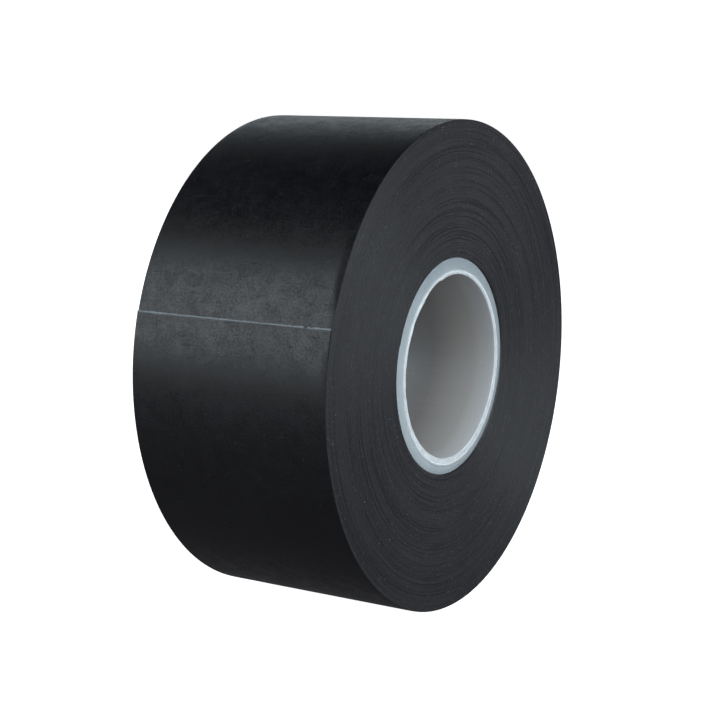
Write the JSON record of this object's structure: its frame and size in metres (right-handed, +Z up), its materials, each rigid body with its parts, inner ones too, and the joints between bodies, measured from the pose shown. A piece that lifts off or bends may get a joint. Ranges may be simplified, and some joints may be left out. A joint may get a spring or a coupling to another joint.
{
  "type": "electrical tape roll",
  "caption": "Wide roll of black PVC electrical tape wound on a pale plastic core, with a free end that peels away from the roll.",
  "frame": {"origin": "centre of the core's bore, half way along it", "axes": "+Y along the core's axis, away from the front face; +Z up, with the roll standing on its round side; the strip's cut end is on the -X side"},
  "size_m": [0.0866, 0.0394, 0.0865],
  "materials": {
    "core": "satin, slightly translucent",
    "wound_tape": "satin, with the fine edges of the turns",
    "tape_film": "soft gloss",
    "tape_adhesive": "tacky"
  },
  "bodies": {
    "roll": {"core": "core", "wound_turns": "wound_tape", "last_turn_film": "tape_film", "last_turn_adhesive": "tape_adhesive"},
    "flap_1": {"flap_1_film": "tape_film", "flap_1_adhesive": "tape_adhesive"},
    "flap_2": {"flap_2_film": "tape_film", "flap_2_adhesive": "tape_adhesive"},
    "flap_3": {"flap_3_film": "tape_film", "flap_3_adhesive": "tape_adhesive"},
    "flap_4": {"flap_4_film": "tape_film", "flap_4_adhesive": "tape_adhesive"},
    "flap_5": {"flap_5_film": "tape_film", "flap_5_adhesive": "tape_adhesive"},
    "flap_6": {"flap_6_film": "tape_film", "flap_6_adhesive": "tape_adhesive"}
  },
  "joints": [
    {"name": "peel_root", "type": "hinge", "parent": "roll", "child": "flap_1", "pos_m": [-0.03155, 0, -0.02969], "axis": [0, -1, 0], "range_deg": [0, 40]},
    {"name": "peel_bend_2", "type": "hinge", "parent": "flap_1", "child": "flap_2", "pos_m": [-0.03623, 0, -0.02377], "axis": [0, -1, 0], "range_deg": [0, 12]},
    {"name": "peel_bend_3", "type": "hinge", "parent": "flap_2", "child": "flap_3", "pos_m": [-0.03981, 0, -0.01712], "axis": [0, -1, 0], "range_deg": [0, 12]},
    {"name": "peel_bend_4", "type": "hinge", "parent": "flap_3", "child": "flap_4", "pos_m": [-0.04218, 0, -0.00995], "axis": [0, -1, 0], "range_deg": [0, 12]},
    {"name": "peel_bend_5", "type": "hinge", "parent": "flap_4", "child": "flap_5", "pos_m": [-0.04327, 0, -0.00248], "axis": [0, -1, 0], "range_deg": [0, 12]},
    {"name": "peel_bend_6", "type": "hinge", "parent": "flap_5", "child": "flap_6", "pos_m": [-0.04305, 0, 0.00506], "axis": [0, -1, 0], "range_deg": [0, 12]}
  ],
  "couplings": [
    {"joint": "peel_bend_2", "follows": "peel_root", "ratio": 0.3},
    {"joint": "peel_bend_3", "follows": "peel_root", "ratio": 0.3},
    {"joint": "peel_bend_4", "follows": "peel_root", "ratio": 0.3},
    {"joint": "peel_bend_5", "follows": "peel_root", "ratio": 0.3},
    {"joint": "peel_bend_6", "follows": "peel_root", "ratio": 0.3}
  ]
}
